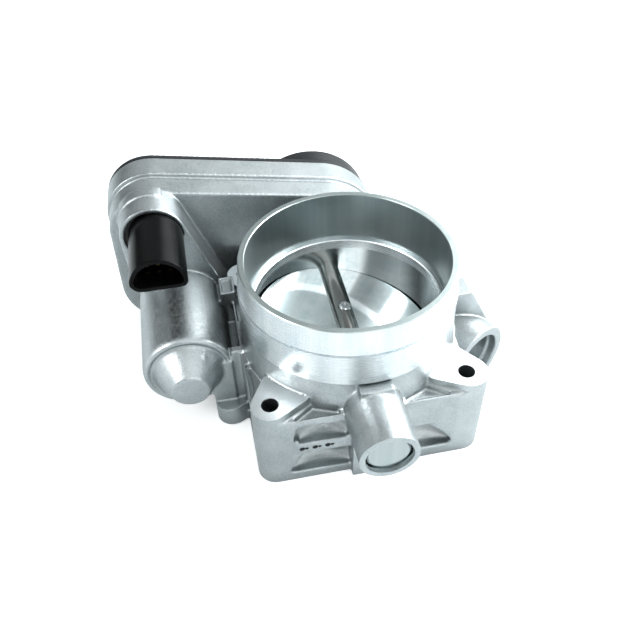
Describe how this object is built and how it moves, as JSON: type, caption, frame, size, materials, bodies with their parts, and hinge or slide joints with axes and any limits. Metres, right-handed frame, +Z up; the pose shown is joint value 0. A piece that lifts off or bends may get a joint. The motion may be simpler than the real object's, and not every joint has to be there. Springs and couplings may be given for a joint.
{
  "type": "electronic throttle body",
  "caption": "Electronic throttle body: butterfly plate on a geared motor drive in an aluminium casting with intake collar, side port and connector.",
  "frame": {"origin": "bore axis at the underside of the manifold flange", "axes": "+Z up the bore to the air intake, +Y along the throttle shaft to the gear housing, +X towards the side port"},
  "size_m": [0.1696, 0.1677, 0.085],
  "materials": {
    "cast_aluminium": "bead-blasted casting with turned collar and bore",
    "plate_metal": "machined, polished",
    "bright_steel": "bright plated",
    "ground_steel": "ground",
    "black_rubber": "matt",
    "gear_plastic": "natural nylon",
    "ferrite": "dark grey",
    "brass": "machined",
    "black_plastic": "moulded, fine grain",
    "connector_plastic": "moulded, semi-gloss",
    "sensor_ceramic": "ceramic track board"
  },
  "bodies": {
    "housing": {"throttle_housing": "cast_aluminium", "shaft_end_plug": "bright_steel", "front_bearing_cup": "bright_steel", "front_bearing_needles": "bright_steel", "front_shaft_seal": "black_rubber", "rear_shaft_seal": "black_rubber", "rear_bearing_outer_race": "bright_steel", "rear_bearing_balls": "bright_steel", "return_spring": "ground_steel", "idler_axle": "ground_steel", "idler_washer": "bright_steel", "motor_can": "ground_steel", "motor_magnets": "ferrite", "motor_brushes": "ferrite", "motor_brush_card": "black_plastic", "motor_bushes": "brass", "motor_flange": "ground_steel", "motor_screws": "bright_steel", "closed_stop_screw": "ground_steel", "cover_gasket": "black_rubber", "gear_cover": "black_plastic", "cover_screws": "bright_steel", "position_sensor_board": "sensor_ceramic", "connector_shell": "connector_plastic", "connector_blades": "brass", "connector_seal": "black_rubber"},
    "throttle": {"throttle_shaft": "ground_steel", "throttle_plate": "plate_metal", "plate_screws": "bright_steel", "sector_gear": "gear_plastic", "sector_nut": "bright_steel", "sensor_wiper": "gear_plastic", "rear_bearing_inner_race": "bright_steel"},
    "idler": {"idler_gear": "gear_plastic"},
    "rotor": {"motor_shaft": "ground_steel", "motor_armature": "ferrite", "motor_commutator": "brass", "motor_pinion": "brass"}
  },
  "joints": [
    {"name": "throttle_turn", "type": "hinge", "parent": "housing", "child": "throttle", "pos_m": [0, 0, 0.0373], "axis": [0, 1, 0], "range_deg": [-7.9, 77.1], "stiffness_Nm_per_rad": 0.3},
    {"name": "idler_turn", "type": "hinge", "parent": "housing", "child": "idler", "pos_m": [-0.03585, 0.062, 0.03397], "axis": [0, 1, 0], "range_deg": [-232, 24]},
    {"name": "motor_turn", "type": "hinge", "parent": "housing", "child": "rotor", "pos_m": [-0.0702, 0.02, 0.03079], "axis": [0, 1, 0], "range_deg": [-103, 997]}
  ],
  "couplings": [
    {"joint": "idler_turn", "follows": "throttle_turn", "ratio": -3},
    {"joint": "motor_turn", "follows": "throttle_turn", "ratio": 12.923}
  ]
}
